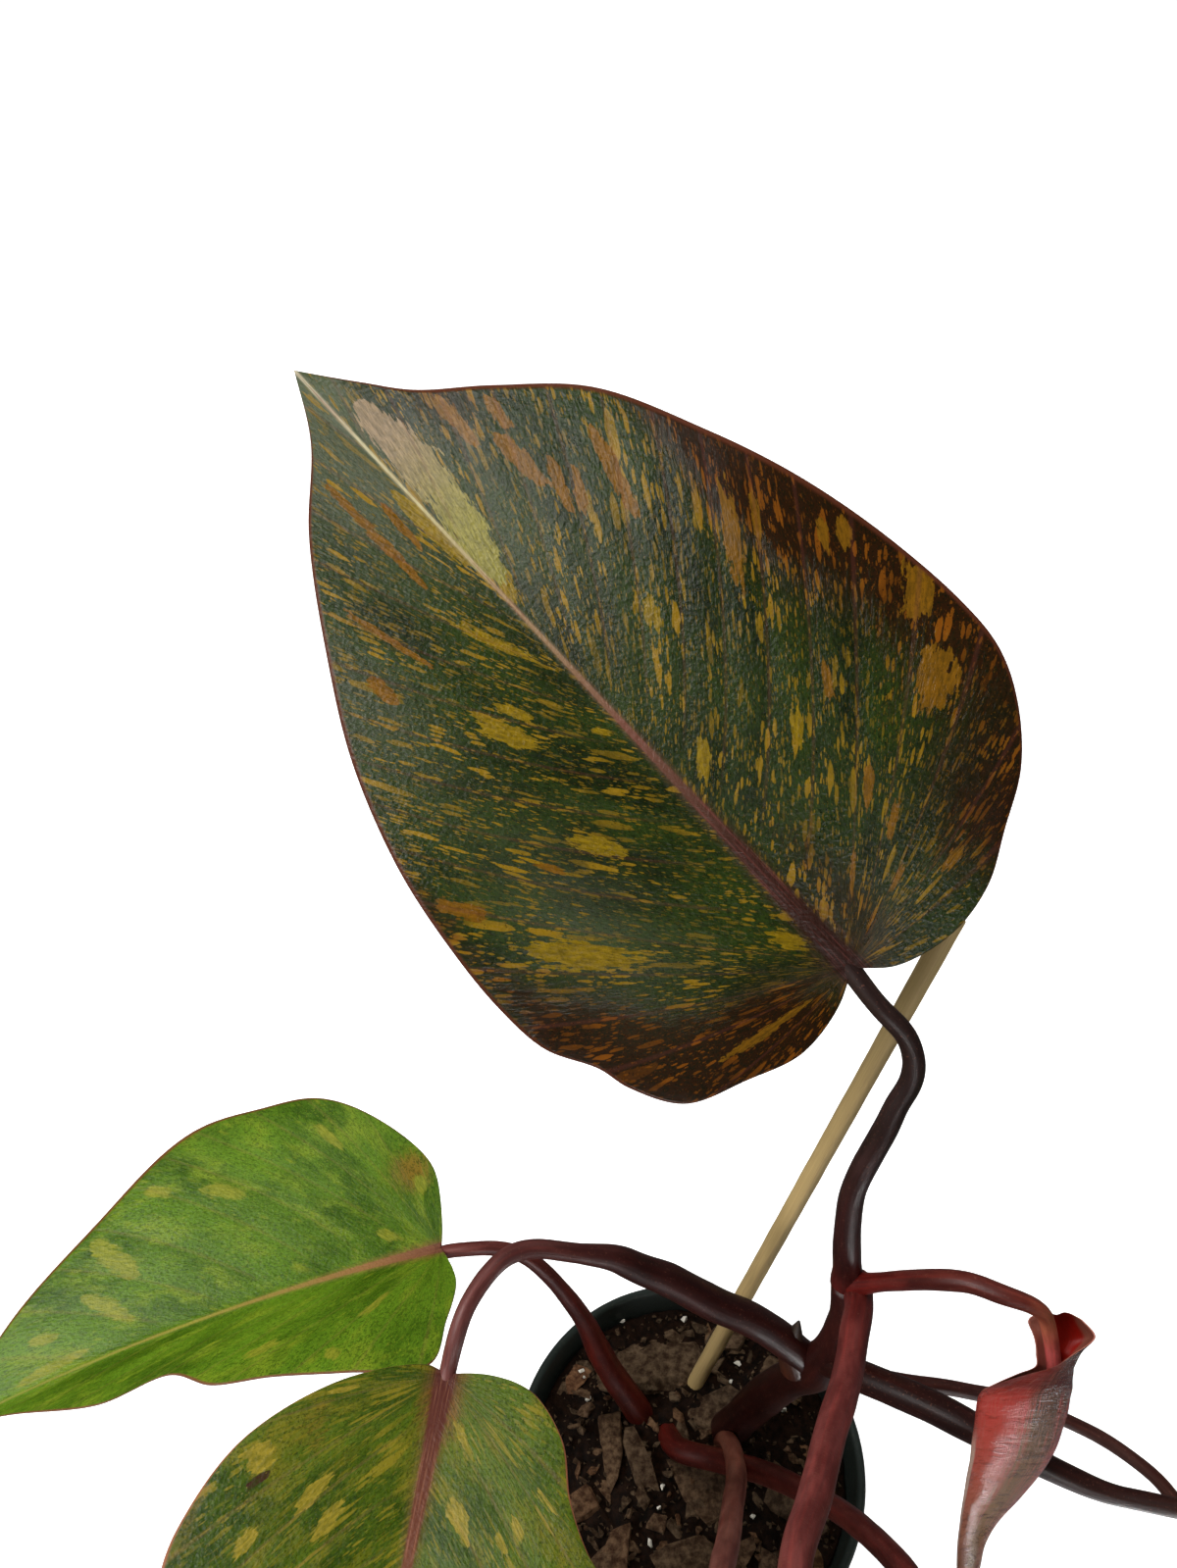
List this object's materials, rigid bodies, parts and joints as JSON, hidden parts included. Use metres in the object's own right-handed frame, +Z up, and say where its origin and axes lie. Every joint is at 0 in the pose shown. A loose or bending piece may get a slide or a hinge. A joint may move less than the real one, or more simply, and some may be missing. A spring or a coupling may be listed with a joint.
{
  "type": "potted orange princess philodendron",
  "caption": "Potted orange princess philodendron: heart-shaped dark and green leaves with ochre streaks on maroon stalks, a rolled red young leaf and a bamboo stake, in a round nursery pot.",
  "frame": {"origin": "centre of the flat underside of the pot", "axes": "+Z up, -Y towards the side the picture looks from, +X to the right of that view"},
  "size_m": [0.4633, 0.3462, 0.3947],
  "materials": {
    "pot_plastic": "satin, dark grey-green",
    "potting_mix": "rough bark mix with perlite",
    "stalk": "smooth, waxy maroon",
    "dry_scale": "dry and fibrous",
    "bamboo": "raw split bamboo",
    "dark_leaf": "satin, dark green and maroon with ochre streaks",
    "green_leaf": "satin, mid green with yellow and ochre streaks",
    "rolled_leaf": "glossy red-brown"
  },
  "bodies": {
    "root": {"pot": "pot_plastic", "soil": "potting_mix", "stem": "stalk", "stem_scale": "dry_scale", "stake": "bamboo", "petiole_a": "stalk", "petiole_b": "stalk", "petiole_c": "stalk", "petiole_d": "stalk", "petiole_e": "stalk", "petiole_f": "stalk", "petiole_g": "stalk", "petiole_h": "stalk", "petiole_i": "stalk", "blade_a": "dark_leaf", "blade_b": "green_leaf", "blade_c": "green_leaf", "blade_d": "rolled_leaf", "blade_e": "green_leaf", "blade_f": "green_leaf", "blade_g": "green_leaf", "blade_h": "green_leaf", "blade_i": "green_leaf"}
  },
  "joints": []
}
